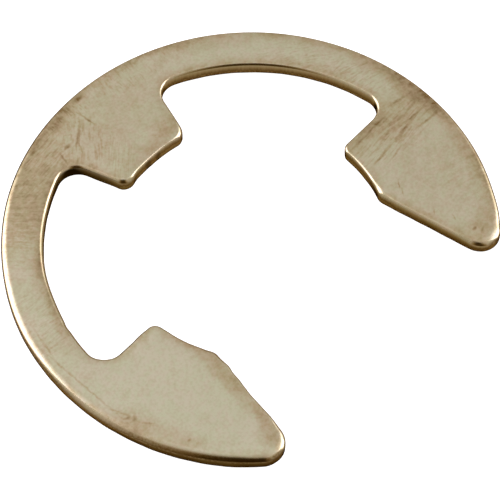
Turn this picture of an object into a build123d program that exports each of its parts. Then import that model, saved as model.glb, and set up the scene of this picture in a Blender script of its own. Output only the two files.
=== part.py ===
from build123d import *

import os

# An e clip: a retaining ring, blanked from spring steel sheet, that is pushed sideways into the groove
# of a 1 inch shaft. Its bow springs three prongs against the floor of the groove: one prong opposite
# the mouth, and one at each end of the bow. It is drawn relaxed, as it is before it is fitted.
#
# The origin is the centre of the shaft, on the face that the clip lies on. +Z runs along the shaft,
# and the mouth opens towards -Y. Lengths are in millimetres, and angles in degrees.

# The sheet, and the circles of the outline
thickness = 1.27
outer_diameter = 38.1
grip_diameter = 20.88  # the ends of the three prongs lie on this circle
bow_width = 3.22  # the springing part of the ring, from its rim in to the lobes

# Angles round the shaft
throat_angle = 124.4  # across the mouth, between the grips of the two end prongs
end_prong_angle = 28.4  # along the grip of the prong at each end of the bow
centre_prong_angle = 35.9  # across the prong opposite the mouth, from flank to flank
mouth_flare_angle = 20.7  # between the two sides of the mouth, which open outwards

# Corners of the outline
centre_grip_corner = 0.93
centre_root_fillet = 1.63  # where the centre prong grows out of the bow
end_root_fillet = 1.59  # where an end prong does
end_grip_corner = 0.7
throat_corner = 1.02
tip_corner = 1.62

# Edges of the sheet: the punch rolls the upper ones over, and tumbling breaks the lower ones
upper_edge_fillet = 0.34
lower_edge_chamfer = 0.2

outer_radius = outer_diameter / 2
grip_radius = grip_diameter / 2
bow_inner_radius = outer_radius - bow_width

# Directions round the shaft, from the middle of the mouth, for one half of the clip
throat_direction = throat_angle / 2
end_flank_direction = throat_direction + end_prong_angle
centre_flank_direction = 180 - centre_prong_angle / 2


def toward(direction, length=1):
    """The vector of this length in this direction round the shaft."""
    return Vector(length, 0).rotate(Axis.Z, direction)


with BuildPart() as e_clip:
    # the sketch's own X axis runs out through the middle of the mouth
    with BuildSketch(Plane.XY.rotated((0, 0, -90))) as outline:
        # one half: along the grips and the lobe, out along the mouth's side and back round the rim
        with BuildLine():
            centre_grip = CenterArc((0, 0), grip_radius, 180, centre_flank_direction - 180)
            centre_flank = Line(centre_grip @ 1, toward(centre_flank_direction, bow_inner_radius))
            lobe = CenterArc(
                (0, 0), bow_inner_radius, centre_flank_direction, end_flank_direction - centre_flank_direction
            )
            end_flank = Line(lobe @ 1, toward(end_flank_direction, grip_radius))
            end_grip = CenterArc((0, 0), grip_radius, end_flank_direction, -end_prong_angle)
            rim_circle = CenterArc((0, 0), outer_radius, 0, 180, mode=Mode.PRIVATE)
            mouth_side = IntersectingLine(end_grip @ 1, toward(mouth_flare_angle / 2), rim_circle)
            rim = RadiusArc(mouth_side @ 1, toward(180, outer_radius), -outer_radius)
            Line(rim @ 1, centre_grip @ 0)
        make_face()

        # its corners are rounded before it is mirrored into the whole
        corners = (
            (centre_grip @ 1, centre_grip_corner),
            (centre_flank @ 1, centre_root_fillet),
            (lobe @ 1, end_root_fillet),
            (end_flank @ 1, end_grip_corner),
            (end_grip @ 1, throat_corner),
            (mouth_side @ 1, tip_corner),
        )
        for corner, radius in corners:
            fillet(outline.vertices().sort_by_distance(corner)[0], radius)
        mirror(about=Plane.XZ)
    extrude(amount=thickness)
    fillet(e_clip.faces().sort_by(Axis.Z)[-1].edges(), upper_edge_fillet)
    chamfer(e_clip.faces().sort_by(Axis.Z)[0].edges(), lower_edge_chamfer)

e_clip.part.label = "e_clip"

os.makedirs("parts", exist_ok=True)
export_step(e_clip.part, "parts/e_clip.step")
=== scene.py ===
import math

import bpy
import numpy as np
from mathutils import Matrix, Vector, geometry


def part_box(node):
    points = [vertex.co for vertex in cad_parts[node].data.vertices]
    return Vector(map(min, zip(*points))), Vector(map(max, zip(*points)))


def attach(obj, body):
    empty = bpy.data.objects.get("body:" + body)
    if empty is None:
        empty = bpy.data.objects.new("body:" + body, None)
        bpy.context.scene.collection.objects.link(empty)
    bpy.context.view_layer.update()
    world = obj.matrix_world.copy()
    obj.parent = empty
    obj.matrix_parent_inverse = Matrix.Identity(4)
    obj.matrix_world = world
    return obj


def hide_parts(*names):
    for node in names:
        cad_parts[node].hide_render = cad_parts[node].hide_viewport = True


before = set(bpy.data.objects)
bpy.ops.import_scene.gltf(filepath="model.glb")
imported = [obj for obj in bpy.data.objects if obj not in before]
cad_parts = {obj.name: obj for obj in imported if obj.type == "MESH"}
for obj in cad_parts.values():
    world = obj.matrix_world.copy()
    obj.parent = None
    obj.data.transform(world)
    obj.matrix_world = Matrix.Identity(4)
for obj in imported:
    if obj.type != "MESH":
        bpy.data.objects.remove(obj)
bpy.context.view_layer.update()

millimetre = 0.001
micrometre = 0.000001

boxLow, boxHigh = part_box("e_clip")
outerRadius = boxHigh.x / millimetre
thickness = (boxHigh.z - boxLow.z) / millimetre

# The sizes that the clip is drawn to, in millimetres and degrees. The sheet's thickness and the
# outer radius come from the frame.
clipSizes = {
    "gripRadius": 10.44,         # circle that the ends of the prongs lie on
    "bowWidth": 3.22,            # springing part of the ring
    "centreProngAngle": 35.9,
    "endProngAngle": 28.4,
    "throatAngle": 124.4,
    "mouthFlareAngle": 20.7,
    "centreGripCorner": 0.93,
    "centreRootFillet": 1.63,
    "endRootFillet": 1.59,
    "endGripCorner": 0.7,
    "throatCorner": 1.02,
    "tipCorner": 1.62,
    # Widths of the rolled edges, which vary round the ring. Each is the least, then what it gains
    # towards a side, that side's direction, and how closely the gain keeps to it.
    "rimUpperEdge": (0.42, (0.17, 195, 1)),
    "rimLowerEdge": (0.16, (0.36, 160, 6)),
    "innerUpperEdge": (0.23, (0.23, 150, 3)),
    "innerLowerEdge": (0.22,),
    "rimDepth": (0.34, (0.50, 195, 1), (0.32, 112, 8), (0.32, -31, 8)),  # of the upper edge, for a width
    "rimReach": 0.9,             # how far in from the rim its edges change to the inner ones
    # softer corners of the prongs, the same on both sides: their places, reach and width of edge
    "softCorners": ((3.22, 9.93), (9.23, -4.87)),
    "cornerReach": 1.0,
    "cornerUpperEdge": 0.42,
    # softer tips: place, reach, width and depth of their edges, and what the sinking of the face gains
    "tip": (12.2, -13.0),
    "tipReach": 1.7,
    "tipUpperEdge": 0.60,
    "tipDepth": 0.75,
    "tipSink": 2.6,
    "wallBulge": 0.02,           # how far the cut walls stand out half way down
    "raggedness": 0.018,         # how far their torn lower part wanders
    "tornBelow": 0.2,            # where that part ends, from -1 at the foot to 1 at the top
    "tears": ((0.31, 0.0), (0.73, 2.0), (1.9, 4.0)),  # lengths and starts of its waves
    "rollDepth": 0.022,          # how far the upper face sinks towards its edges
    "rollWidth": 0.42,           # over what distance it does
    "outlineStep": 0.10,         # spacing of points along the outline
    "arcStep": 7,                # and the most degrees between them
    "edgeSteps": 10,             # steps down a rolled edge
    "wallSteps": 4,              # and down the wall below it
    "faceStep": 0.42,            # spacing of points over the faces
    "faceMargin": 0.62,          # width of the even strip beside the outline
    "faceGap": 0.55,             # least gap between the strip and those points, in their spacings
    # wear of the outline: x, y, reach and how far it stands out
    "wear": {
        "entryLow": (-10.4, -11.4, 0.9, 0.05),
        "entryHigh": (-9.5, -6.4, 0.45, 0.08),
        "entryMiddle": (-9.8, -7.7, 0.4, 0.03),
        "entryDip": (-10.05, -9.2, 0.5, -0.03),
        "endProngCorner": (-10.5, -0.3, 0.5, -0.06),
        "endProngFlank": (-12.0, 0.1, 0.6, 0.05),
        "rootLeft": (-15.3, 0.8, 0.7, 0.06),
        "ringNick": (-15.2, 4.7, 0.4, -0.06),
        "ringSwell": (-14.2, 6.9, 1.9, 0.05),
        "prongCorner": (-3.0, 10.75, 0.4, 0.07),
        "prongGripLeft": (-1.9, 10.25, 0.55, -0.06),
        "prongGripMiddle": (0.2, 10.44, 1.1, 0.04),
        "tipLeft": (-12.5, -14.1, 0.7, -0.05),
        "entryLeft": (-10.1, -9.4, 2.2, -0.035),
        "gripLeft": (-10.1, -2.8, 1.8, -0.045),
        "gripRight": (10.0, -2.4, 1.7, 0.02),
        "ringInnerFar": (11.6, 10.8, 4.5, 0.04),
        "rimTopLeft": (-9.0, 16.8, 6.0, 0.045),
        "rimLeft": (-17.5, 7.5, 4.0, 0.03),
        "ringInnerLeft": (-12.4, 9.7, 4.5, -0.06),
        "tipLeftRim": (-13.4, -13.5, 1.2, -0.05),
        "tipRight": (13.4, -13.4, 0.9, -0.06),
        "rimRightLow": (15.6, -10.9, 2.5, -0.05),
    },
}


def heading(degrees, length=1.0):
    return Vector((math.cos(math.radians(degrees)), math.sin(math.radians(degrees)))) * length


def bearing(vector):
    return math.degrees(math.atan2(vector.y, vector.x))


def halfOutlineArcs(sizes):
    # Arcs of the right half, from the middle of the centre prong round to the middle of the rim, as
    # (centre, radius, first direction, last direction, is metal inside). Straight runs join them.
    grip = sizes["gripRadius"]
    inner = outerRadius - sizes["bowWidth"]
    centre = Vector((0.0, 0.0))
    flank = 90 - sizes["centreProngAngle"] / 2
    endFlank = -90 + sizes["throatAngle"] / 2 + sizes["endProngAngle"]
    throat = heading(-90 + sizes["throatAngle"] / 2, grip)
    mouthSide = heading(-90 + sizes["mouthFlareAngle"] / 2)
    intoMetal = Vector((-mouthSide.y, mouthSide.x))

    def besideFlank(fillet, fromCentre, flankHeading, side):
        # centre of a fillet between a radial flank and a circle round the shaft
        return flankHeading + side * math.degrees(math.asin(fillet / fromCentre))

    def besideMouth(fillet, fromCentre, sign):
        # centre of a fillet between the mouth's side and a circle round the shaft
        base = throat + intoMetal * fillet
        along = base.dot(mouthSide)
        reach = math.sqrt(along * along - base.dot(base) + fromCentre * fromCentre)
        return base + mouthSide * (sign * reach - along)

    arcs = []
    f = sizes["centreGripCorner"]
    a = besideFlank(f, grip + f, flank, 1)
    arcs.append((centre, grip, 90, a, False))
    arcs.append((heading(a, grip + f), f, a + 180, flank + 270, True))
    f = sizes["centreRootFillet"]
    a = besideFlank(f, inner - f, flank, -1)
    arcs.append((heading(a, inner - f), f, flank + 90, a, False))
    f = sizes["endRootFillet"]
    b = besideFlank(f, inner - f, endFlank, 1)
    arcs.append((centre, inner, a, b, False))
    arcs.append((heading(b, inner - f), f, b, endFlank - 90, False))
    f = sizes["endGripCorner"]
    a = besideFlank(f, grip + f, endFlank, -1)
    arcs.append((heading(a, grip + f), f, endFlank + 90, a + 180, True))
    f = sizes["throatCorner"]
    corner = besideMouth(f, grip + f, 1)
    b = bearing(corner)
    outOfMouth = bearing(-intoMetal) % 360
    arcs.append((centre, grip, a, b, False))
    arcs.append((corner, f, b + 180, outOfMouth, True))
    f = sizes["tipCorner"]
    corner = besideMouth(f, outerRadius - f, 1)
    b = bearing(corner)
    arcs.append((corner, f, outOfMouth, b + 360, True))
    arcs.append((centre, outerRadius, b, 90, True))
    return arcs


def sampleOutline(sizes):
    # Points round the whole outline and the directions that face out of the metal there
    points, normals = [], []
    samePoint = 1e-4

    def straightTo(start):
        if not points:
            return
        run = start - points[-1]
        count = int(run.length / sizes["outlineStep"])
        last, facing = points[-1], normals[-1]
        for k in range(1, count):
            points.append(last + run * k / count)
            normals.append(facing)

    for centre, radius, first, last, metalInside in halfOutlineArcs(sizes):
        straightTo(centre + heading(first, radius))
        span = math.radians(abs(last - first)) * radius
        count = max(int(span / sizes["outlineStep"]), int(abs(last - first) / sizes["arcStep"]), 2)
        for k in range(count + 1):
            angle = first + (last - first) * k / count
            point = centre + heading(angle, radius)
            if points and (point - points[-1]).length < samePoint:
                continue
            points.append(point)
            normals.append(heading(angle) * (1 if metalInside else -1))
    mirrored = [(Vector((-p.x, p.y)), Vector((-n.x, n.y))) for p, n in zip(points, normals)][::-1]
    points += [p for p, n in mirrored[1:-1]]
    normals += [n for p, n in mirrored[1:-1]]
    points, normals = np.array([tuple(p) for p in points]), np.array([tuple(n) for n in normals])
    for x, y, reach, standing in sizes["wear"].values():
        away = np.hypot(points[:, 0] - x, points[:, 1] - y) / reach
        points = points + normals * (standing * np.exp(-away ** 2))[:, None]
    return points, normals


def nearby(points, place, reach):
    # 1 at a place and at its mirror image, 0 beyond the reach
    away = np.hypot(np.abs(points[:, 0]) - place[0], points[:, 1] - place[1])
    return np.exp(-(away / reach) ** 4)


def roundRing(outline, least, *gains):
    # a measure that varies round the ring: its least, and what it gains towards each side
    for gain, side, focus in gains:
        towards = np.clip(outline @ np.array(heading(side)) / outerRadius, 0, 1)
        least = least + gain * towards ** focus
    return least


def edgeProfile(outline, sizes):
    # (insets from the outline, heights) of rows from the upper face, round the edge, to the lower face
    fromRim = outerRadius - np.hypot(outline[:, 0], outline[:, 1])
    rim = np.clip(1 - fromRim / sizes["rimReach"], 0, 1)
    rim = rim * rim * (3 - 2 * rim)  # soft at both ends

    def edge(height):
        # an edge's width, from that on the inner edges to that on the rim
        inner = roundRing(outline, *sizes["inner" + height])
        return inner + (roundRing(outline, *sizes["rim" + height]) - inner) * rim

    upper, lower = edge("UpperEdge"), edge("LowerEdge")
    depthShare = 1 + (roundRing(outline, *sizes["rimDepth"]) - 1) * rim
    atTip = nearby(outline, sizes["tip"], sizes["tipReach"])
    upper = upper + (sizes["tipUpperEdge"] - upper) * atTip
    depthShare = depthShare + (sizes["tipDepth"] - depthShare) * atTip
    for corner in sizes["softCorners"]:
        upper = upper + (sizes["cornerUpperEdge"] - upper) * nearby(outline, corner, sizes["cornerReach"])

    level = 0 * upper
    margin = level + sizes["faceMargin"]
    steps = sizes["edgeSteps"]
    quarter = [math.radians(90 * k / steps) for k in range(steps + 1)]
    deep = depthShare * upper
    wall = thickness - deep - lower
    rows = [(margin, level + thickness), ((margin + upper) / 2, level + thickness)]
    rows += [(upper * (1 - math.sin(a)), thickness - deep * (1 - math.cos(a))) for a in quarter]
    rows += [(level, lower + wall * (1 - k / sizes["wallSteps"])) for k in range(1, sizes["wallSteps"])]
    rows += [(lower * (1 - math.cos(a)), lower * (1 - math.sin(a))) for a in quarter]
    rows += [((margin + lower) / 2, level), (margin, level)]

    along = np.cumsum(np.hypot(*(outline - np.roll(outline, 1, axis=0)).T))
    ragged = sum(np.sin(along / length + start) for length, start in sizes["tears"]) / len(sizes["tears"])
    worn = []
    for inset, height in rows:
        fromMiddle = 2 * height / thickness - 1
        fade = np.clip((sizes["faceMargin"] - inset) / sizes["faceMargin"], 0, 1)
        torn = sizes["raggedness"] * ragged * np.clip(sizes["tornBelow"] - fromMiddle, 0, 1)
        worn.append((inset + (torn - sizes["wallBulge"] * (1 - fromMiddle ** 2)) * fade, height))
    return worn


def fillFace(loop, outline, sizes):
    # Triangles inside a loop, over an even lattice of points that keeps off the loop itself
    step = sizes["faceStep"]
    lattice = []
    rowHeight = step * math.sqrt(3) / 2
    for row in range(int(-outerRadius / rowHeight), int(outerRadius / rowHeight) + 1):
        shift = step / 2 if row % 2 else 0.0
        for column in range(int(-outerRadius / step), int(outerRadius / step) + 1):
            lattice.append((column * step + shift, row * rowHeight))
    lattice = np.array(lattice)
    distance, inside = distanceToOutline(lattice, outline)
    keep = lattice[inside & (distance > sizes["faceMargin"] + sizes["faceGap"] * step)]
    points = [Vector(p) for p in loop] + [Vector(p) for p in keep]
    border = [(k, (k + 1) % len(loop)) for k in range(len(loop))]
    insideBorder, samePoint = 1, 1e-7
    filled = geometry.delaunay_2d_cdt(points, border, [], insideBorder, samePoint)
    flat, _, faces, fromPoint, _, _ = filled
    if len(flat) != len(points):
        raise RuntimeError("the face's points were merged")
    order = [source[0] for source in fromPoint]
    return keep, [[order[v] for v in face] for face in faces]


def distanceToOutline(points, outline):
    # How far each point lies from the outline, and whether it is inside it
    following = np.roll(outline, -1, axis=0)
    distance = np.empty(len(points))
    inside = np.zeros(len(points), bool)
    for k, (x, y) in enumerate(points):
        distance[k] = np.hypot(outline[:, 0] - x, outline[:, 1] - y).min()
        crosses = (outline[:, 1] > y) != (following[:, 1] > y)
        rise = np.where(crosses, following[:, 1] - outline[:, 1], 1.0)
        at = outline[:, 0] + (y - outline[:, 1]) * (following[:, 0] - outline[:, 0]) / rise
        inside[k] = (crosses & (x < at)).sum() % 2 == 1
    return distance, inside


def buildClip(sizes):
    outline, normals = sampleOutline(sizes)
    count = len(outline)
    rows = edgeProfile(outline, sizes)
    vertices, inset = [], []
    for depth, height in rows:
        ring = outline - normals * depth[:, None]
        vertices += [(x, y, z) for (x, y), z in zip(ring, height)]
        inset += list(depth)
    faces = []
    for row in range(len(rows) - 1):
        for k in range(count):
            after = (k + 1) % count
            here, below = row * count, (row + 1) * count
            faces.append((here + k, below + k, below + after, here + after))
    keep, triangles = fillFace(outline - normals * sizes["faceMargin"], outline, sizes)
    keepDistance, _ = distanceToOutline(keep, outline)
    for height, ringStart, flip in ((thickness, 0, False), (0.0, (len(rows) - 1) * count, True)):
        start = len(vertices)
        vertices += [(x, y, height) for x, y in keep]
        inset += list(keepDistance)
        for triangle in triangles:
            corners = [ringStart + v if v < count else start + v - count for v in triangle]
            faces.append(tuple(corners[::-1] if flip else corners))
    vertices, inset = np.array(vertices), np.array(inset)
    # the upper face sinks towards its edges, and most at the tips
    fade = np.exp(-np.maximum(inset - sizes["rimUpperEdge"][0], 0.0) / sizes["rollWidth"])
    atTip = nearby(vertices, sizes["tip"], sizes["tipReach"])
    sink = sizes["rollDepth"] * fade * (1 + sizes["tipSink"] * atTip)
    vertices[:, 2] -= sink * np.clip(2 * vertices[:, 2] / thickness - 1, 0, 1)

    mesh = bpy.data.meshes.new("clipBlank")
    mesh.from_pydata((vertices * millimetre).tolist(), [], faces)
    mesh.validate()
    edgeDistance = mesh.attributes.new("edgeDistance", "FLOAT", "POINT")
    edgeDistance.data.foreach_set("value", inset.astype(np.float32))
    mesh.polygons.foreach_set("use_smooth", [True] * len(mesh.polygons))
    mesh.update()
    clip = bpy.data.objects.new("clipBlank", mesh)
    bpy.context.scene.collection.objects.link(clip)
    return clip


clip = buildClip(clipSizes)
print("clip built:", len(clip.data.vertices), "points,", len(clip.data.polygons), "faces")

noiseMiddle = 0.5                # what every noise varies round


def nodeAdder(tree):
    # a function that adds one node, sets its properties and fills or links its sockets
    def add(kind, sockets=None, **properties):
        node = tree.nodes.new("ShaderNode" + kind)
        for name, value in properties.items():
            setattr(node, name, value)
        for name, value in (sockets or {}).items():
            if isinstance(value, bpy.types.NodeSocket):
                tree.links.new(value, node.inputs[name])
            else:
                node.inputs[name].default_value = value
        return node
    return add


def startGroup(name, inputs, outputs):
    # an empty shader node group with these sockets, each a name and a kind of socket
    group = bpy.data.node_groups.new(name, "ShaderNodeTree")
    for sockets, side in ((inputs, "INPUT"), (outputs, "OUTPUT")):
        for socket, kind in sockets.items():
            group.interface.new_socket(socket, in_out=side, socket_type="NodeSocket" + kind)
    entry = group.nodes.new("NodeGroupInput")
    leave = group.nodes.new("NodeGroupOutput")
    return group, nodeAdder(group), entry.outputs, leave.inputs


def mathsAdders(add):
    # short calls for the sums that the steel and the room's light are made of
    def maths(operation, first, second=0.0, third=0.0):
        return add("Math", {0: first, 1: second, 2: third}, operation=operation).outputs[0]

    def ease(value, start, end, low=0.0, high=1.0):
        # from low to high while the value goes from start to end, softly at both
        sockets = {"Value": value, "From Min": start, "From Max": end, "To Min": low, "To Max": high}
        return add("MapRange", sockets, interpolation_type="SMOOTHSTEP").outputs[0]

    def vectorMaths(operation, first, second):
        return add("VectorMath", {0: first, 1: second}, operation=operation).outputs[0]

    def measure(operation, first, second=(0, 0, 0)):
        # a length or a dot product
        return add("VectorMath", {0: first, 1: second}, operation=operation).outputs["Value"]

    return maths, ease, vectorMaths, measure


def fillRamp(ramp, stops):
    # stops in rising order, each a place from 0 to 1 and a colour
    elements = ramp.color_ramp.elements
    for k, (place, colour) in enumerate(stops):
        element = elements[k] if k < 2 else elements.new(place)
        element.position = place
        element.color = (*colour, 1)


def turnedBack(add, vector, turn):
    # the vector on axes that are turned by this angle
    back = add("Math", {0: turn, 1: -1.0}, operation="MULTIPLY").outputs[0]
    return add("VectorRotate", {"Vector": vector, "Angle": back}, rotation_type="Z_AXIS").outputs[0]


def makePatchGroup():
    # one soft oval patch, turned and stretched over the sheet
    group, add, given, result = startGroup(
        "softPatch",
        {"Position": "Vector", "Centre": "Vector", "Turn": "Float", "Reach": "Vector", "Softness": "Float"},
        {"Mask": "Float"},
    )
    maths, ease, vectorMaths, measure = mathsAdders(add)
    offset = vectorMaths("SUBTRACT", given["Position"], given["Centre"])
    shrunk = vectorMaths("DIVIDE", turnedBack(add, offset, given["Turn"]), given["Reach"])
    radius = measure("LENGTH", vectorMaths("MULTIPLY", shrunk, (1, 1, 0)))
    outer = maths("ADD", 1.0, given["Softness"])
    inner = maths("SUBTRACT", 1.0, given["Softness"])
    group.links.new(ease(radius, outer, inner), result["Mask"])
    return group


streakShape = {
    "waverScale": 0.45,          # waves of the wavering, to a millimetre
    "detail": 2.0,
    "roughness": 0.55,
    "softness": 0.10,            # how softly a streak ends, to both sides of its cover
}


def makeStreakGroup(shape):
    # wavering streaks that run one way over the sheet
    group, add, given, result = startGroup(
        "streaks",
        {
            "Position": "Vector", "Turn": "Float", "Length": "Float", "Spacing": "Float",
            "Waver": "Float", "Cover": "Float",
        },
        {"Mask": "Float", "Height": "Float"},
    )
    maths, ease, _, _ = mathsAdders(add)
    turned = turnedBack(add, given["Position"], given["Turn"])
    sockets = {"Vector": turned, "Scale": shape["waverScale"], "Detail": shape["detail"]}
    bend = add("TexNoise", sockets, noise_dimensions="2D").outputs["Fac"]
    shift = maths("MULTIPLY", maths("SUBTRACT", bend, noiseMiddle), given["Waver"])
    split = add("SeparateXYZ", {0: turned}).outputs
    along = maths("DIVIDE", split["X"], given["Length"])
    across = maths("DIVIDE", maths("ADD", split["Y"], shift), given["Spacing"])
    stretched = add("CombineXYZ", {"X": along, "Y": across}).outputs[0]
    sockets = {"Vector": stretched, "Scale": 1.0, "Detail": shape["detail"]}
    sockets["Roughness"] = shape["roughness"]
    height = add("TexNoise", sockets, noise_dimensions="2D").outputs["Fac"]
    low = maths("SUBTRACT", given["Cover"], shape["softness"])
    high = maths("ADD", given["Cover"], shape["softness"])
    group.links.new(ease(height, high, low), result["Mask"])
    group.links.new(height, result["Height"])
    return group


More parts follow.
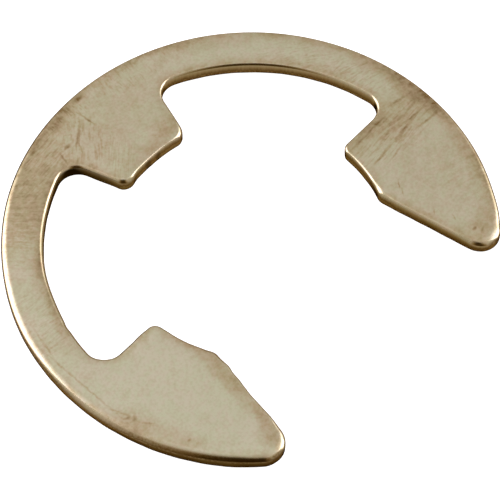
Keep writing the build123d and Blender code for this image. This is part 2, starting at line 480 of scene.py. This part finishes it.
steelLook = {
    # colours of the sheet from clean to its deepest stain, and the one where stains add up to more
    "colours": (
        (0.0, (0.63, 0.617, 0.474)), (0.35, (0.51, 0.425, 0.275)), (1.0, (0.21, 0.125, 0.04)),
        (1.0, (0.41, 0.31, 0.175)),
    ),
    # colour of the painted shade on the walls, nearly black
    "paintedShadeColour": (0.012, 0.006, 0.0),
    "greenFilm": (0.975, 1.0, 0.95),   # the two films that the colours are multiplied by
    "pinkFilm": (1.03, 0.985, 1.0),
    "grazingTint": (0.85, 0.72, 0.52),  # of what is mirrored at a shallow angle
    "faceRoughness": 0.32,
    "edgeRoughness": 0.17,
    "roughnessRange": 0.12,      # how far both vary
    "faceStainMost": 0.95,       # deepest stain on the face, before its mottle
    "edgeStainAndShade": 0.36,           # stain on the rolled edges
    "nearRimShade": 0.45,        # painted shade that the rim's edge has besides, on the shaded side
    "farRimShade": 0.6,          # and painted shade away from it, low down the edge
    "shadedRimSide": 222,        # direction of the shaded side
    "nearShadeBegins": (15.2, 17.4),  # over which distances towards it its painted shade sets in
    "tarnishEnds": (15.2, 12.0),    # and over which the other one does
    "wallStainAndShade": 0.28,           # stain on the cut walls, high up
    "footShade": 1.0,            # and at their foot, where it is painted shade
    "footZone": (0.85, 0.25),    # heights between those two, as shares of the thickness
    "rimWallStain": 0.60,        # what the rim's wall has besides
    "rimZone": (1.2, 0.6),       # over which distances from the rim it sets in
    "gripWallStain": 0.34,       # and what the ends of the prongs have
    "gripZone": (1.0, 0.3),
    "highPaintedShade": 0.75,           # painted shade high up a wall, for that at its foot
    "punchLines": (7.0, 7.0, 0.6),  # marks of the punch to a millimetre, along x, y and z
    "bandWidth": 0.95,           # width of the stained border along the edges
    "bandSolid": 0.1,            # and of its solid part
    "bandWobble": 0.9,           # how far that width varies
    "wander": 0.5,               # how far stains' outlines wander
    "strokeWander": 0.12,        # and those of the strokes
    "stainSoftness": 0.65,       # how soft these outlines are, for the patch's size
    "strokeSoftness": 0.9,
    "streakSoftness": 0.5,
    "paintedShadeSoftness": 0.6,
    "grainHeight": 2.2,          # heights of the fine relief, in micrometres
    "waveHeight": 7.0,
    "wallHeight": 3.0,
    # noises: size in millimetres, and detail
    "noises": {
        "wander": (1.6, 3.0),
        "strokeWander": (0.4, 3.0),
        "bandWobble": (1.1, 3.0),
        "bandStain": (5.0, 1.0),
        "grain": (0.16, 2.0),
        "wave": (2.6, 1.0),
        "mottle": (0.5, 4.0),
        "speckle": (0.22, 3.0),
        "blotches": (1.2, 4.0),
        "punched": (1.0, 3.0),
        "wideHue": (2.2, 2.0),
        "fineHue": (0.4, 2.0),
        "roughness": (0.8, 3.0),
    },
    # slopes, as the height of the normal, over which each part of the surface begins
    "upperFace": (0.6, 0.95),
    "rolledEdge": (0.995, 0.80),
    "brink": (0.84, 0.62),
    "wall": (0.75, 0.2),
    "relief": (0.86, 0.98),
    # stains from noises: from where to where in the noise, and what they are there
    "bandStain": (0.35, 0.65, 0.098, 0.28),
    "mottle": (0.3, 0.7, 0.70, 1.30),
    "speckle": (0.35, 0.7, -0.03, 0.09),
    "blotches": (0.48, 0.68, 0.0, 0.07),
    "punchedStain": (0.25, 0.75, 0.82, 1.18),
    "pinkness": (0.38, 0.62),
    # stains on the upper face: x, y, half length, half width in millimetres, turn in degrees, depth
    "stains": {
        "rightRimDeep": (18.5, -0.8, 3.4, 0.9, 90, 0.38),
        "rightRimLow": (17.5, -5.6, 3.4, 0.6, 70, 0.20),
        "rightRimTip": (15.3, -10.0, 3.0, 0.6, 55, 0.06),
        "rightArmFilm": (13.6, -7.0, 5.4, 4.4, 60, 0.08),
        "rightRoot": (15.8, -1.0, 3.2, 1.6, 0, 0.19),
        "rightFlank": (12.4, -0.5, 2.2, 0.7, 0, 0.18),
        "rightRimUpper": (18.4, 3.4, 2.6, 0.8, 98, 0.20),
        "rightRingOuter": (10.8, 15.1, 6.5, 0.9, -37, 0.16),
        "rightRingOuterLow": (16.6, 8.6, 5.0, 0.8, -63, 0.12),
        "rightRingInner": (12.9, 9.2, 4.2, 0.7, -55, 0.14),
        "rightTip": (12.4, -12.4, 1.6, 0.8, 20, 0.22),
        "topRim": (-3.0, 18.2, 2.9, 0.7, 8, 0.26),
        "topRimRight": (3.2, 18.3, 3.6, 0.5, -9, 0.12),
        "leftRingTop": (-8.8, 15.2, 4.4, 1.9, 27, 0.24),
        "leftRingUpper": (-12.6, 12.5, 3.6, 1.7, 45, 0.07),
        "leftRingInner": (-11.2, 11.4, 4.2, 0.8, 45, 0.14),
        "leftRingInnerLow": (-14.8, 6.2, 3.4, 0.6, 65, 0.12),
        "leftRingFilm": (-16.6, 5.2, 6.5, 3.0, 75, 0.04),
        "prongFilm": (0.3, 14.2, 4.6, 3.4, 0, 0.08),
        "topRingFilm": (0.5, 16.4, 9.5, 3.4, 0, 0.06),
        "prongGrip": (0.2, 11.2, 3.1, 0.6, 0, 0.16),
        "prongGripCorner": (2.6, 11.6, 0.9, 0.8, 30, 0.16),
        "leftMarks": (-17.2, -4.6, 1.3, 0.9, -60, 0.10),
        "leftSpot": (-15.8, -8.7, 0.8, 0.5, -50, 0.12),
        "leftEntry": (-10.4, -6.8, 3.6, 0.6, 82, 0.20),
        "leftEntryLow": (-11.2, -11.6, 1.8, 0.5, 70, 0.16),
        "leftTip": (-11.7, -12.3, 0.9, 0.7, 60, 0.12),
        "leftRimFilm": (-17.4, -5.6, 4.4, 0.8, -62, 0.16),
    },
    # painted shade on the cut walls, in their corners and pits and at their foot, in the same way
    "paintedWallShade": {
        "rootArch": (-6.2, 14.4, 1.5, 1.1, 0, 0.85),
        "prongFlank": (-4.6, 13.0, 2.2, 1.0, 105, 0.75),
        "nearRim": (-14.6, -11.4, 8.0, 2.6, -52, 0.38),
        "prongPitHigh": (-0.6, 10.5, 0.30, 0.6, 0, 0.7),
        "prongPitLow": (0.5, 10.5, 0.22, 0.6, 0, 0.6),
        "tipFoot": (12.6, -14.2, 0.5, 0.6, 0, 0.7),
    },
    # strokes, which are small and have firmer outlines, in the same way
    "strokes": {
        "topSpot": (-0.2, 18.5, 0.4, 0.18, 0, 0.34),
        "prongA": (-2.5, 16.1, 1.0, 0.12, 38, 0.34),
        "prongB": (-3.9, 15.9, 0.30, 0.12, 0, 0.34),
        "prongC": (-1.05, 16.5, 0.55, 0.07, 94, 0.36),
        "prongD": (-4.9, 15.3, 0.45, 0.07, 75, 0.32),
        "prongE": (-1.9, 14.2, 0.45, 0.08, 52, 0.32),
        "prongF": (-2.9, 13.8, 0.55, 0.10, 50, 0.26),
        "prongG": (-3.4, 14.9, 0.6, 0.06, 60, 0.24),
        "leftLine": (-17.85, 0.4, 3.3, 0.07, 90, 0.26),
        "leftLineUpper": (-17.4, 4.7, 1.6, 0.08, 76, 0.24),
        "leftLineBend": (-17.65, -3.2, 0.7, 0.07, 112, 0.22),
        "leftMarkA": (-17.6, -3.95, 0.22, 0.10, -30, 0.34),
        "leftMarkB": (-17.2, -4.4, 0.24, 0.12, 35, 0.38),
        "leftFleck": (-16.9, -5.3, 0.5, 0.08, -55, 0.20),
        "leftPit": (-15.8, -8.5, 0.16, 0.10, 0, 0.26),
        "rightA": (15.0, -2.35, 1.05, 0.13, 6, 0.42),
        "rightB": (15.2, -1.35, 0.85, 0.11, -8, 0.36),
        "rightC": (11.7, -2.7, 0.75, 0.08, 4, 0.32),
        "rightD": (17.0, -3.1, 1.0, 0.10, -6, 0.30),
        "rightE": (12.7, -0.5, 1.9, 0.10, 3, 0.28),
        "rightF": (13.6, -1.7, 0.9, 0.08, 10, 0.26),
        "rightG": (16.9, -0.2, 0.9, 0.10, -12, 0.28),
        "rightH": (13.0, -3.3, 0.7, 0.07, 8, 0.24),
        "rightI": (16.4, -2.0, 0.8, 0.08, -4, 0.30),
        "tipDot": (11.8, -12.2, 0.16, 0.12, 0, 0.44),
        "tipDotLow": (12.1, -12.7, 0.22, 0.08, 30, 0.22),
        "entryA": (10.9, -5.4, 0.35, 0.05, 50, 0.30),
        "entryB": (10.6, -6.0, 0.30, 0.05, 55, 0.26),
        "entryC": (10.9, -8.9, 0.30, 0.05, 50, 0.24),
        "entryD": (11.5, -10.4, 0.22, 0.05, 60, 0.28),
    },
    # streaked areas: x, y, half length, half width, turn; then the streaks' own turn, length, spacing,
    # waver, cover, depth of stain and height of relief in micrometres
    "streaks": {
        "rightRoot": (14.4, -1.9, 4.4, 1.7, 0, 4, 1.9, 0.26, 0.22, 0.45, 0.20, 8.0),
        "rightRing": (16.6, 3.6, 2.8, 1.6, 100, -14, 1.0, 0.20, 0.2, 0.45, 0.16, 6.0),
        "rightRingUpper": (14.6, 8.2, 3.4, 1.5, 122, -35, 1.0, 0.20, 0.2, 0.44, 0.14, 5.0),
        "rightLow": (15.2, -8.4, 3.2, 2.0, 65, -15, 1.3, 0.36, 0.14, 0.47, 0.08, 18.0),
        "leftRing": (-6.4, 16.3, 3.0, 1.9, 20, 4, 1.1, 0.18, 0.2, 0.46, 0.18, 5.0),
        "leftRingMiddle": (-10.4, 14.2, 3.2, 2.1, 36, -46, 1.4, 0.28, 0.16, 0.46, 0.13, 6.0),
        "leftRingLow": (-12.6, 12.4, 3.4, 1.8, 45, -52, 1.1, 0.20, 0.2, 0.46, 0.09, 5.0),
        "leftRingFoot": (-16.6, 6.0, 3.6, 1.6, 75, -6, 1.1, 0.20, 0.2, 0.45, 0.12, 5.0),
        "prongUpper": (-2.6, 15.2, 2.6, 1.9, 50, 46, 1.2, 0.24, 0.3, 0.42, 0.16, 6.0),
        "prongLower": (-1.9, 12.2, 1.9, 1.1, 45, 42, 2.0, 0.11, 0.05, 0.47, 0.12, 5.0),
        "topRim": (-2.0, 18.0, 2.2, 0.9, 0, 84, 0.8, 0.20, 0.2, 0.45, 0.18, 5.0),
        "topRing": (4.5, 17.2, 5.0, 1.4, -14, 78, 0.9, 0.18, 0.2, 0.45, 0.10, 4.0),
    },
}


def steelMaterial(look):
    material = bpy.data.materials.new("tumbledSpringSteel")
    material.use_nodes = True
    tree = material.node_tree
    shader = tree.nodes["Principled BSDF"]
    add = nodeAdder(tree)
    maths, ease, vectorMaths, measure = mathsAdders(add)
    patchGroup = makePatchGroup()
    streakGroup = makeStreakGroup(streakShape)

    def scaled(vector, factor):
        return add("VectorMath", {0: vector, "Scale": factor}, operation="SCALE").outputs[0]

    def noise(name, around, output="Fac"):
        size, detail = look["noises"][name]
        return add("TexNoise", {"Vector": around, "Scale": 1.0 / size, "Detail": detail}).outputs[output]

    def aroundZero(name):
        return maths("SUBTRACT", noise(name, position), noiseMiddle)

    def wandered(name):
        # the position, wandering by up to the reach of this name
        around = vectorMaths("SUBTRACT", noise(name, position, "Color"), (noiseMiddle,) * 3)
        return vectorMaths("ADD", position, scaled(around, 2 * look[name]))

    def mixed(factor, first, second, **more):
        sockets = {"Factor": factor, "A": first, "B": second}
        return add("Mix", sockets, data_type="RGBA", **more).outputs["Result"]

    def placePatch(name, around, patch, softness):
        x, y, length, width, turn = patch[:5]
        sockets = {
            "Position": around, "Centre": (x, y, 0), "Turn": math.radians(turn),
            "Reach": (length, width, 1), "Softness": softness,
        }
        return add("Group", sockets, node_tree=patchGroup, label=name).outputs["Mask"]

    def addPatches(kind, around, softness, total):
        for name, patch in look[kind].items():
            total = maths("MULTIPLY_ADD", placePatch(name, around, patch, softness), patch[5], total)
        return total

    position = scaled(add("TexCoord").outputs["Object"], 1.0 / millimetre)
    wandering = wandered("wander")
    upright = add("SeparateXYZ", {0: add("NewGeometry").outputs["Normal"]}).outputs["Z"]
    wall = ease(upright, *look["wall"])

    # stained border along every edge, uneven in width and depth, then the patches and strokes
    distance = add("Attribute", attribute_name="edgeDistance").outputs["Fac"]
    wobble = maths("MULTIPLY", aroundZero("bandWobble"), look["bandWobble"])
    band = ease(maths("ADD", distance, wobble), look["bandWidth"], look["bandSolid"])
    stain = maths("MULTIPLY", band, ease(noise("bandStain", position), *look["bandStain"]))
    stain = addPatches("stains", wandering, look["stainSoftness"], stain)
    stain = addPatches("strokes", wandered("strokeWander"), look["strokeSoftness"], stain)

    # streaks, which are also a faint relief
    height = maths("MULTIPLY", noise("grain", position), look["grainHeight"])
    height = maths("MULTIPLY_ADD", noise("wave", position), look["waveHeight"], height)
    for name, patch in look["streaks"].items():
        turn, length, spacing, waver, cover, depth, relief = patch[5:]
        area = placePatch(name, wandering, patch, look["streakSoftness"])
        sockets = {
            "Position": position, "Turn": math.radians(turn), "Length": length, "Spacing": spacing,
            "Waver": waver, "Cover": cover,
        }
        streaks = add("Group", sockets, node_tree=streakGroup, label=name).outputs
        stain = maths("MULTIPLY_ADD", maths("MULTIPLY", area, streaks["Mask"]), depth, stain)
        height = maths("MULTIPLY_ADD", maths("MULTIPLY", area, streaks["Height"]), relief, height)
    stain = maths("MINIMUM", stain, look["faceStainMost"])
    stain = maths("MULTIPLY", stain, ease(noise("mottle", position), *look["mottle"]))
    speckle = ease(noise("speckle", position), *look["speckle"])
    speckle = maths("ADD", speckle, ease(noise("blotches", wandering), *look["blotches"]))
    stain = maths("MULTIPLY", maths("ADD", stain, speckle), ease(upright, *look["upperFace"]))

    # cut walls, darker on the rim and at the ends of the prongs, with painted shade darker towards the foot
    highest, lowest = (share * thickness for share in look["footZone"])
    depthDown = ease(add("SeparateXYZ", {0: position}).outputs["Z"], highest, lowest)
    fromShaft = measure("LENGTH", vectorMaths("MULTIPLY", position, (1, 1, 0)))
    onRim = ease(fromShaft, *(outerRadius - away for away in look["rimZone"]))
    onGrip = ease(fromShaft, *(clipSizes["gripRadius"] + away for away in look["gripZone"]))
    wallStainAndShade = maths("MULTIPLY_ADD", depthDown, look["footShade"] - look["wallStainAndShade"], look["wallStainAndShade"])
    wallStainAndShade = maths("MULTIPLY_ADD", onRim, look["rimWallStain"], wallStainAndShade)
    wallStainAndShade = maths("MULTIPLY_ADD", onGrip, look["gripWallStain"], wallStainAndShade)

    # rolled edges, with painted shade along the rim on one side and low down its edge on the other, and
    # marks of the punch up them and the walls
    side = measure("DOT_PRODUCT", position, heading(look["shadedRimSide"]).to_3d())
    nearRim = maths("MULTIPLY", onRim, ease(side, *look["nearShadeBegins"]))
    farRim = maths("MULTIPLY", onRim, ease(side, *look["tarnishEnds"]))
    brink = maths("MULTIPLY", ease(upright, *look["brink"]), farRim)
    rollStainAndShade = maths("MULTIPLY_ADD", nearRim, look["nearRimShade"], look["edgeStainAndShade"])
    rollStainAndShade = maths("MULTIPLY_ADD", brink, look["farRimShade"], rollStainAndShade)
    edgeStainAndShade = maths("MULTIPLY_ADD", wall, maths("SUBTRACT", wallStainAndShade, rollStainAndShade), rollStainAndShade)
    punched = noise("punched", vectorMaths("MULTIPLY", position, look["punchLines"]))
    edgeStainAndShade = maths("MULTIPLY", edgeStainAndShade, ease(punched, *look["punchedStain"]))
    rolled = ease(upright, *look["rolledEdge"])
    # the rolled edges and walls bring their stain and painted shade into the stain here
    stain = maths("MAXIMUM", stain, maths("MULTIPLY", rolled, edgeStainAndShade))

    # colour of the stain, then painted shade in the corners of the walls, then greener and pinker films
    tone = add("ValToRGB", {0: stain})
    fillRamp(tone, look["colours"])
    paintedWallShade = addPatches("paintedWallShade", position, look["paintedShadeSoftness"], 0.0)
    # the painted shade is deepest at the foot of a wall
    paintedShadeByHeight = maths("MULTIPLY_ADD", depthDown, 1 - look["highPaintedShade"], look["highPaintedShade"])
    paintedWallShade = maths("MULTIPLY", paintedWallShade, maths("MULTIPLY", wall, paintedShadeByHeight))
    toneWithPaintedShade = mixed(paintedWallShade, tone.outputs[0], (*look["paintedShadeColour"], 1))
    fineHue = maths("MULTIPLY", noise("fineHue", position), 0.5)
    hue = maths("MULTIPLY_ADD", noise("wideHue", position), 0.5, fineHue)
    film = mixed(ease(hue, *look["pinkness"]), (*look["greenFilm"], 1), (*look["pinkFilm"], 1))
    tree.links.new(mixed(1.0, toneWithPaintedShade, film, blend_type="MULTIPLY"), shader.inputs["Base Color"])

    rough = ease(rolled, 0.0, 1.0, look["faceRoughness"], look["edgeRoughness"])
    rough = maths("MULTIPLY_ADD", aroundZero("roughness"), look["roughnessRange"], rough)
    tree.links.new(rough, shader.inputs["Roughness"])
    height = maths("MULTIPLY", height, ease(upright, *look["relief"]))
    height = maths("MULTIPLY_ADD", maths("MULTIPLY", punched, wall), look["wallHeight"], height)
    bump = add("Bump", {"Height": height, "Distance": micrometre, "Strength": 1.0})
    tree.links.new(bump.outputs[0], shader.inputs["Normal"])
    shader.inputs["Metallic"].default_value = 1.0
    shader.inputs["Specular Tint"].default_value = (*look["grazingTint"], 1)
    return material


clip.data.materials.append(steelMaterial(steelLook))
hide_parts("e_clip")
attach(clip, "root")
print("steel made")

cameraPlace = {
    "azimuth": -47.085,          # 0 looks along +Y
    "elevation": 59.069,
    "roll": -0.265,
    "distance": 0.16057,
    "aim": (-0.000632, -0.000408, 0.0),
    "lens": 151.5,
    "sensor": 36.0,
    "nearest": 0.005,            # nothing closer than this is seen
}


def placeCamera(place):
    azimuth, elevation, roll = (math.radians(place[k]) for k in ("azimuth", "elevation", "roll"))
    level = math.cos(elevation)
    back = Vector((math.sin(azimuth) * level, -math.cos(azimuth) * level, math.sin(elevation)))
    right = Vector((math.cos(azimuth), math.sin(azimuth), 0.0))
    up = back.cross(right)
    tiltedRight = right * math.cos(roll) + up * math.sin(roll)
    tiltedUp = up * math.cos(roll) - right * math.sin(roll)
    data = bpy.data.cameras.new("studioCamera")
    data.lens = place["lens"]
    data.sensor_width = place["sensor"]
    data.clip_start = place["nearest"]
    camera = bpy.data.objects.new("studioCamera", data)
    bpy.context.scene.collection.objects.link(camera)
    turn = Matrix((tiltedRight, tiltedUp, back)).transposed().to_4x4()
    camera.matrix_world = Matrix.Translation(Vector(place["aim"]) + back * place["distance"]) @ turn
    bpy.context.scene.camera = camera
    return back


towardsCamera = placeCamera(cameraPlace)

studio = {
    "floorSize": 3.0,
    "floorColour": (0.55, 0.55, 0.55, 1.0),
    "floorRoughness": 0.9,
    "glowColour": (1.0, 1.0, 1.0, 1.0),
    "glow": 1.0,
}


def makeFloor(settings):
    half = settings["floorSize"] / 2
    corners = [(-half, -half, 0), (half, -half, 0), (half, half, 0), (-half, half, 0)]
    mesh = bpy.data.meshes.new("studioFloor")
    mesh.from_pydata(corners, [], [(0, 1, 2, 3)])
    floor = bpy.data.objects.new("studioFloor", mesh)
    bpy.context.scene.collection.objects.link(floor)
    material = bpy.data.materials.new("paleFloor")
    material.use_nodes = True
    shader = material.node_tree.nodes["Principled BSDF"]
    shader.inputs["Base Color"].default_value = settings["floorColour"]
    shader.inputs["Roughness"].default_value = settings["floorRoughness"]
    shader.inputs["Emission Color"].default_value = settings["glowColour"]
    shader.inputs["Emission Strength"].default_value = settings["glow"]
    mesh.materials.append(material)
    floor.visible_glossy = False


makeFloor(studio)

softboxes = {
    "colour": (1.0, 0.97, 1.14),
    # angle round from the camera, elevation, width and height in metres, distance, radiance
    "boxes": {
        "leftSoftbox": (-110, 31, 0.32, 0.36, 0.40, 2.5),
        "rightSoftbox": (101, 31, 0.21, 0.36, 0.40, 3.0),
    },
}


def awayFrom(turn, elevation):
    # direction at this angle round from the camera and this elevation
    facing = math.degrees(math.atan2(towardsCamera.y, towardsCamera.x))
    level = math.cos(math.radians(elevation))
    return Vector((*(heading(facing + turn) * level), math.sin(math.radians(elevation))))


def makeSoftboxes(settings):
    for name, (turn, elevation, width, height, distance, radiance) in settings["boxes"].items():
        out = awayFrom(turn, elevation)
        data = bpy.data.lights.new(name, "AREA")
        data.shape = "RECTANGLE"
        data.size, data.size_y = width, height
        data.energy = radiance * math.pi * width * height
        data.color = settings["colour"]
        light = bpy.data.objects.new(name, data)
        light.location = out * distance
        light.rotation_euler = out.to_track_quat("Z", "Y").to_euler()
        light.visible_camera = False
        bpy.context.scene.collection.objects.link(light)


makeSoftboxes(softboxes)

roomLight = {
    # brightness of the room at the sine of an elevation
    "levels": (
        (-1.0, 0.03), (-0.94, 0.12), (-0.87, 0.31), (-0.77, 0.46), (-0.6, 0.50), (-0.3, 0.52), (0.0, 0.58),
        (1.0, 0.85),
    ),
    # tint of each brightness: the darker, the browner
    "tints": (
        (0.0, (0.004, 0.001, 0.0)), (0.10, (0.10, 0.055, 0.012)), (0.25, (0.25, 0.172, 0.060)),
        (0.36, (0.36, 0.272, 0.135)), (0.47, (0.47, 0.385, 0.265)), (0.56, (0.56, 0.51, 0.45)),
        (0.65, (0.65, 0.605, 0.55)), (1.0, (1.0, 0.97, 0.97)), (1.5, (1.5, 1.47, 1.55)),
        (3.0, (3.0, 2.85, 2.9)),
    ),
    # soft patches: angle round from the camera, elevation, half width, softness, brightness added
    "patches": {
        "leftGlow": (-110, 20, 16, 20, 0.85),
        "rightGlow": (125, 28, 10, 9, 2.0),
        "rightFloor": (150, -28, 18, 24, -0.08),
        "farFloor": (180, -54, 26, 16, -0.22),
        "leftFarFloor": (-139, -34, 14, 16, -0.28),
        "leftHorizon": (-140, -9, 13, 10, -0.30),
        "visor": (0, 58, 5, 9, -0.4),
        "backWall": (180, 36, 10, 30, -0.06),
        "rightShade": (150, 56, 8, 14, -0.14),
        "leftFloor": (-75, -60, 10, 20, -0.04),
    },
    "brightest": 3.0,            # that the tints reach to
    "standTurn": (10, 42),       # half width of the dark stand behind the camera, and where it fades out
    "standShade": 0.10,          # how much of the room's light it leaves
    "standFoot": (0.1, -0.42),   # sines of the elevations over which it ends below
    "seenColour": (1.0, 1.0, 1.0, 1.0),  # of the room behind the clip, which the camera sees
}


def makeRoom(settings):
    world = bpy.data.worlds.new("studioRoom")
    bpy.context.scene.world = world
    world.use_nodes = True
    tree = world.node_tree
    add = nodeAdder(tree)
    maths, ease, _, measure = mathsAdders(add)
    direction = add("TexCoord").outputs["Generated"]
    sine = add("SeparateXYZ", {0: direction}).outputs["Z"]
    level = add("ValToRGB", {0: maths("MULTIPLY_ADD", sine, 0.5, 0.5)})
    fillRamp(level, [((height + 1) / 2, (brightness,) * 3) for height, brightness in settings["levels"]])
    total = level.outputs[0]
    for name, (turn, elevation, half, soft, added) in settings["patches"].items():
        towards = measure("DOT_PRODUCT", direction, awayFrom(turn, elevation))
        start, full = (math.cos(math.radians(angle)) for angle in (half + soft, half))
        patch = ease(towards, start, full, 0.0, added)
        patch.node.label = name
        total = maths("ADD", total, patch)

    # the stand that holds the camera
    sideways = maths("ABSOLUTE", measure("DOT_PRODUCT", direction, awayFrom(90, 0)))
    turn = maths("ARCTAN2", sideways, measure("DOT_PRODUCT", direction, awayFrom(0, 0)))
    shade = ease(turn, *(math.radians(angle) for angle in settings["standTurn"]), settings["standShade"])
    shade = maths("MAXIMUM", shade, ease(sine, *settings["standFoot"]))
    total = maths("MULTIPLY", total, shade)

    brightest = settings["brightest"]
    tint = add("ValToRGB", {0: maths("DIVIDE", total, brightest)})
    fillRamp(tint, [(brightness / brightest, colour) for brightness, colour in settings["tints"]])
    seen = add("LightPath").outputs["Is Camera Ray"]
    sockets = {"Factor": seen, "A": tint.outputs[0], "B": settings["seenColour"]}
    colour = add("Mix", sockets, data_type="RGBA").outputs["Result"]
    tree.links.new(colour, tree.nodes["Background"].inputs["Color"])


makeRoom(roomLight)
bpy.context.scene.view_settings.view_transform = "Standard"
print("studio lit")
